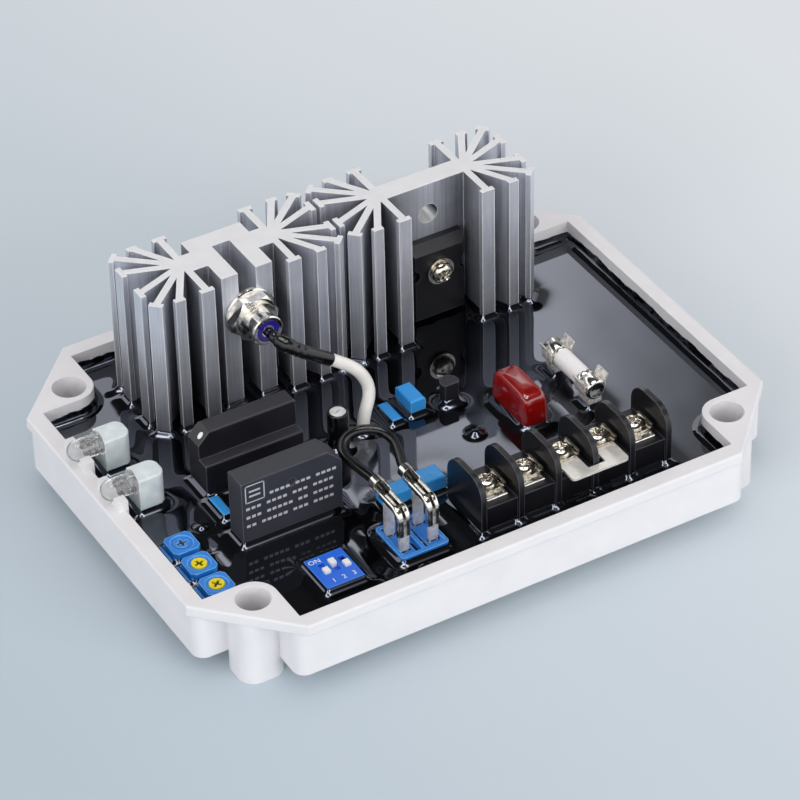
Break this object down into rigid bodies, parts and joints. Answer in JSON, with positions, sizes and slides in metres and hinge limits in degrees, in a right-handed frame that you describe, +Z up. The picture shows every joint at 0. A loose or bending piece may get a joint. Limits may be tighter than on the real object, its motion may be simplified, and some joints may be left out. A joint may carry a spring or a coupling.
{
  "type": "automatic voltage regulator",
  "caption": "Potted voltage regulator of a generator: open white tray of black compound with star-fin heat sinks, screw terminals, fuse, push-on header, slide switch, trimmers and lamps.",
  "frame": {"origin": "under the middle of the tray, in the plane of the undersides of its four feet", "axes": "+X along the tray's long side with the heat sinks behind it, +Y to the long side with the heat sinks, +Z up"},
  "size_m": [0.15, 0.1162, 0.0512],
  "materials": {
    "tray_plastic": "white moulded plastic, fine satin grain",
    "potting": "black potting compound, mirror-smooth surface",
    "board": "green glass-fibre board, buried",
    "aluminium": "extruded aluminium, satin, sawn top faces brighter",
    "black_epoxy": "black moulding epoxy, satin",
    "black_film": "black shrink film over an aluminium can",
    "black_plastic": "black moulded plastic, satin",
    "black_sleeve": "black silicone sleeve",
    "black_lead": "black lead insulation",
    "grey_lead": "light grey silicone lead",
    "screw_steel": "nickel-plated steel screw",
    "nickel": "bright nickel plating",
    "tinned": "tinned brass strip",
    "violet_seal": "violet glass-like seal",
    "red_coating": "dark red dipped epoxy, glossy",
    "light_blue_box": "light blue box, satin gloss",
    "blue_plastic": "blue moulded plastic",
    "yellow_plastic": "yellow moulded plastic",
    "white_plastic": "white moulded plastic",
    "milky_plastic": "milky translucent plastic",
    "clear_epoxy": "water-clear epoxy",
    "white_ceramic": "white ceramic tube"
  },
  "bodies": {
    "regulator": {"tray": "tray_plastic", "potting_compound": "potting", "circuit_board": "board", "heat_sink_left": "aluminium", "heat_sink_right": "aluminium", "power_transistor": "black_epoxy", "transistor_screw": "screw_steel", "transistor_washer": "screw_steel", "stud_rectifier": "nickel", "stud_washer": "nickel", "stud_insulator": "violet_seal", "rectifier_lead": "grey_lead", "lead_sleeve": "black_sleeve", "bridge_rectifier": "black_epoxy", "front_module": "black_epoxy", "electrolytic_capacitor": "black_film", "dipped_capacitor": "red_coating", "small_transistor": "black_epoxy", "film_capacitor_rear_wide": "light_blue_box", "film_capacitor_rear_slim": "light_blue_box", "film_capacitor_left": "light_blue_box", "film_capacitor_by_header": "light_blue_box", "film_capacitor_by_terminals": "light_blue_box", "fuse_tube": "white_ceramic", "fuse_caps": "nickel", "fuse_clips": "nickel", "terminal_block": "black_plastic", "terminal_screws": "screw_steel", "terminal_saddles": "nickel", "terminal_plates": "nickel", "terminal_link": "nickel", "header_base": "blue_plastic", "header_tabs": "tinned", "push_on_connector_left": "nickel", "push_on_connector_right": "nickel", "jumper_lead": "black_lead", "switch_body": "blue_plastic", "trimmer_housing_rear": "blue_plastic", "trimmer_housing_middle": "blue_plastic", "trimmer_housing_front": "blue_plastic", "lamp_holder_rear": "milky_plastic", "lamp_holder_front": "milky_plastic", "lamp_rear": "clear_epoxy", "lamp_front": "clear_epoxy"},
    "switch_slider_1": {"switch_slider_1": "white_plastic"},
    "switch_slider_2": {"switch_slider_2": "white_plastic"},
    "switch_slider_3": {"switch_slider_3": "white_plastic"},
    "trimmer_rotor_rear": {"trimmer_rotor_rear": "blue_plastic"},
    "trimmer_rotor_middle": {"trimmer_rotor_middle": "yellow_plastic"},
    "trimmer_rotor_front": {"trimmer_rotor_front": "yellow_plastic"}
  },
  "joints": [
    {"name": "switch_slider_1_slide", "type": "slide", "parent": "regulator", "child": "switch_slider_1", "axis": [0, 1, 0], "range_m": [0, 0.002]},
    {"name": "switch_slider_2_slide", "type": "slide", "parent": "regulator", "child": "switch_slider_2", "axis": [0, 1, 0], "range_m": [-0.002, 0]},
    {"name": "switch_slider_3_slide", "type": "slide", "parent": "regulator", "child": "switch_slider_3", "axis": [0, 1, 0], "range_m": [0, 0.002]},
    {"name": "trimmer_rear_turn", "type": "hinge", "parent": "regulator", "child": "trimmer_rotor_rear", "pos_m": [-0.0646, -0.01685, 0.0173], "axis": [0, 0, 1], "range_deg": [-135, 135]},
    {"name": "trimmer_middle_turn", "type": "hinge", "parent": "regulator", "child": "trimmer_rotor_middle", "pos_m": [-0.0646, -0.0249, 0.0173], "axis": [0, 0, 1], "range_deg": [-150, 120]},
    {"name": "trimmer_front_turn", "type": "hinge", "parent": "regulator", "child": "trimmer_rotor_front", "pos_m": [-0.0646, -0.03295, 0.0173], "axis": [0, 0, 1], "range_deg": [-175, 95]}
  ]
}
